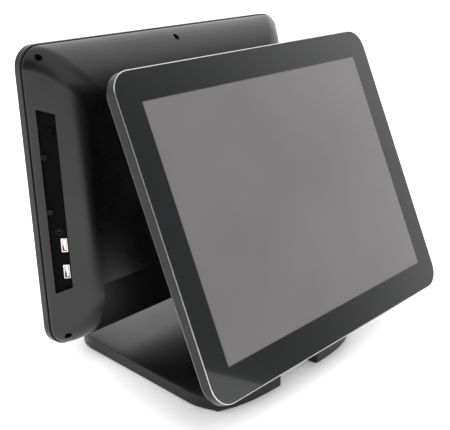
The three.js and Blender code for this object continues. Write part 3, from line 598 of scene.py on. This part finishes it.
def rods(places, radius, length):
    """Several round pins in one piece, along +z from their places, with domed tips."""
    profile = [(0, 0), (radius, 0), (radius, length - radius), (radius * 0.8, length - 0.4 * radius),
               (radius * 0.4, length - 0.08 * radius), (0, length)]
    points, faces = [], []
    for place in places:
        one, skin = lathe(profile, ROD_STEPS)
        start = len(points)
        points += [tuple(a + b for a, b in zip(p, place)) for p in one]
        faces += [tuple(start + i for i in f) for f in skin]
    return points, faces


def spot_in(matrix, x, y, z, turn=Matrix.Identity(4)):
    """A place in a frame, from millimetres."""
    return matrix @ Matrix.Translation(Vector((x, y, z)) * MM) @ turn


BACKWARD = Matrix.Rotation(math.pi, 4, "X")  # a head that looks out of the unit's back
DOWNWARD = Matrix.Rotation(math.pi / 2, 4, "X")  # local z down the glass, out of the port bay

# places are in millimetres: in a unit's frame, or in its recess's for the USB sockets and the jack
HOLE_FLOOR = -15.5
SHELL_SCREWS = {"top_left": (-164.6, 132), "top_middle": (0, 133.2), "top_right": (164.6, 132),
                "low_left": (-165, -130.9), "low_right": (165, -130.9)}
PLATE_SCREW_Z = -47.3
PLATE_SCREWS = {"top_left": (-42, -18), "top_right": (42, -18),
                "low_left": (-42, -72.5), "low_right": (42, -72.5)}
USB_AT = {"upper": (4.1, -40.7), "lower": (3.9, -66.5)}
USB_CONTACTS = 4
USB_CONTACT_FIRST = Vector((-0.3, 3.5, -6.9)) * MM  # from the socket's middle, on the face of its tongue
USB_CONTACT_PITCH = Vector((0, -2.33, 0)) * MM
USB_CONTACT_HALF = Vector((0.1, 0.5, 2.6)) * MM
USB_CONTACT_CHAMFER = 0.05 * MM
JACK_PIN_AT = (0.5, -27.5, -9.1)
JACK_PIN_R, JACK_PIN_L = 0.6 * MM, 5 * MM
SERIAL_AT = (-25, -82.0, -32)  # root of the pins
SERIAL_PIN_R, SERIAL_PIN_L = 0.5 * MM, 7 * MM
PIN_PITCH = 2.77 * MM
PIN_ROW = 1.42 * MM
LAN_AT = (-66, -79.5, -27.6)
LAN_WIRES = 8
LAN_PITCH = 1.02 * MM
LAN_WIRE_HALF = Vector((0.2, 4, 0.25)) * MM
LAN_WIRE_CHAMFER = 0.1 * MM


def add_unit_details(prefix):
    """The screws of a unit's back shell and hinge plate, and the contacts in its sockets."""
    body = prefix + "_unit"
    head = pan_head()
    for place, (x, y) in SHELL_SCREWS.items():
        add_piece(f"{prefix}_shell_screw_{place}", *head, spot_in(UNIT[prefix], x, y, HOLE_FLOOR, BACKWARD),
                  body, "screw_metal", BLACK_ZINC)
    for place, (x, y) in PLATE_SCREWS.items():
        add_piece(f"{prefix}_hinge_plate_screw_{place}", *head,
                  spot_in(UNIT[prefix], x, y, PLATE_SCREW_Z, BACKWARD), body, "screw_metal", ZINC)
    recess = UNIT[prefix] @ RECESS_IN_UNIT
    strips = [(USB_CONTACT_FIRST + k * USB_CONTACT_PITCH, USB_CONTACT_HALF) for k in range(USB_CONTACTS)]
    for place, (x, y) in USB_AT.items():
        add_piece(f"{prefix}_usb_contacts_{place}", *bars(strips, USB_CONTACT_CHAMFER),
                  spot_in(recess, x, y, 0), body, "bright_metal", GOLD)
    pin = rods([(0, 0, 0)], JACK_PIN_R, JACK_PIN_L)
    add_piece(f"{prefix}_round_jack_pin", *pin, spot_in(recess, *JACK_PIN_AT), body, "bright_metal", GOLD)
    wide = [((k - 2) * PIN_PITCH, -PIN_ROW, 0) for k in range(5)]
    narrow = [((k - 1.5) * PIN_PITCH, PIN_ROW, 0) for k in range(4)]
    add_piece(f"{prefix}_serial_pins", *rods(wide + narrow, SERIAL_PIN_R, SERIAL_PIN_L),
              spot_in(UNIT[prefix], *SERIAL_AT, DOWNWARD), body, "bright_metal", GOLD)


for prefix in UNIT:
    add_unit_details(prefix)

wires = [(Vector(((k - (LAN_WIRES - 1) / 2) * LAN_PITCH, 0, 0)), LAN_WIRE_HALF) for k in range(LAN_WIRES)]
add_piece("front_lan_contacts", *bars(wires, LAN_WIRE_CHAMFER), spot_in(UNIT["front"], *LAN_AT),
          "front_unit", "bright_metal", GOLD)

# ---------------------------------------------------------------- floor and light

FLOOR_HALF = 30.0
FLOOR_LEVELS = (0.86, 0.88)
FLOOR_CLOUD = 0.4

# a panel lies toward a direction and fades between two cosines of the angle from it
STUDIO_LEVEL = 1.15
PANEL_TOWARD = (0.485, -0.840, 0.242)
PANEL_FADE = (0.848, 0.966)
PANEL_DARKNESS = 0.80
PANEL_EDGE = (0.5135, 0.5442, 0.6635)  # upright on the plane that cuts the panel off
PANEL_EDGE_BLUR = 0.002
SIDE_TOWARD = (-0.87, -0.47, 0.15)
SIDE_FADE = (0.72, 0.97)
SIDE_DARKNESS = 0.8
TOP_TOWARD = (0.72, 0.35, 0.6)
TOP_FADE = (0.6, 0.95)
TOP_EXTRA = 0.55

# toward the light, degrees across, strength
KEY_LIGHT = ((-0.2, -0.75, 1.0), 40, 2.0)
FILL_LIGHT = ((-0.65, -0.57, 0.6), 70, 3.0)


def make_floor():
    mesh = bpy.data.meshes.new("floor")
    corners = [(x * FLOOR_HALF, y * FLOOR_HALF, 0) for x, y in ((-1, -1), (1, -1), (1, 1), (-1, 1))]
    mesh.from_pydata(corners, [], [(0, 1, 2, 3)])
    floor = bpy.data.objects.new("floor", mesh)
    bpy.context.scene.collection.objects.link(floor)
    paint = Paint("pale_floor", Roughness=0.6, Specular_IOR_Level=0.2)
    spot = paint.place()
    cloud = paint.scale(paint.noise(spot, FLOOR_CLOUD), *MIDDLE)
    paint.drive("Base Color", paint.mix(cloud, *(grey(level) for level in FLOOR_LEVELS)))
    mesh.materials.append(paint.material)


def sun_light(name, source, spread, power):
    """A very broad soft light, spread over that many degrees, that isn't mirrored in the object."""
    data = bpy.data.lights.new(name, "SUN")
    data.energy = power
    data.angle = math.radians(spread)
    lamp = bpy.data.objects.new(name, data)
    lamp.rotation_euler = Vector(source).to_track_quat("Z", "Y").to_euler()
    lamp.visible_glossy = False
    bpy.context.scene.collection.objects.link(lamp)


def make_world():
    """A bright, nearly even studio: grey panels in front to the right and at the left, and a bright one
    overhead at the right.

    The front panel fades in round its middle, and one straight edge cuts it off below and to the left.
    """
    world = bpy.data.worlds.new("studio")
    bpy.context.scene.world = world
    world.use_nodes = True
    tree = world.node_tree
    tree.nodes.clear()
    out = tree.nodes.new("ShaderNodeOutputWorld")
    back = tree.nodes.new("ShaderNodeBackground")
    tree.links.new(back.outputs[0], out.inputs["Surface"])
    direction = tree.nodes.new("ShaderNodeTexCoord").outputs["Generated"]

    def ramp(toward, low, high, to_low, to_high):
        dot = tree.nodes.new("ShaderNodeVectorMath")
        dot.operation = "DOT_PRODUCT"
        tree.links.new(direction, dot.inputs[0])
        dot.inputs[1].default_value = Vector(toward).normalized()
        made = tree.nodes.new("ShaderNodeMapRange")
        made.interpolation_type = "SMOOTHSTEP"
        tree.links.new(dot.outputs["Value"], made.inputs["Value"])
        for name, number in (("From Min", low), ("From Max", high), ("To Min", to_low), ("To Max", to_high)):
            made.inputs[name].default_value = number
        return made.outputs["Result"]

    def combine(operation, a, b):
        made = tree.nodes.new("ShaderNodeMath")
        made.operation = operation
        for socket, value in zip(made.inputs, (a, b)):
            if isinstance(value, bpy.types.NodeSocket):
                tree.links.new(value, socket)
            else:
                socket.default_value = value
        return made.outputs[0]

    shade = ramp(PANEL_TOWARD, *PANEL_FADE, 0, PANEL_DARKNESS)
    shade = combine("MULTIPLY", shade, ramp(PANEL_EDGE, -PANEL_EDGE_BLUR, PANEL_EDGE_BLUR, 0, 1))
    level = combine("MULTIPLY", combine("SUBTRACT", 1, shade), STUDIO_LEVEL)
    side = ramp(SIDE_TOWARD, *SIDE_FADE, 0, SIDE_DARKNESS)
    level = combine("MULTIPLY", level, combine("SUBTRACT", 1, side))
    level = combine("MULTIPLY", level, combine("ADD", 1, ramp(TOP_TOWARD, *TOP_FADE, 0, TOP_EXTRA)))
    tree.links.new(level, back.inputs["Strength"])
    back.inputs["Color"].default_value = (1, 1, 1, 1)


make_floor()
make_world()
sun_light("key", *KEY_LIGHT)
sun_light("fill", *FILL_LIGHT)
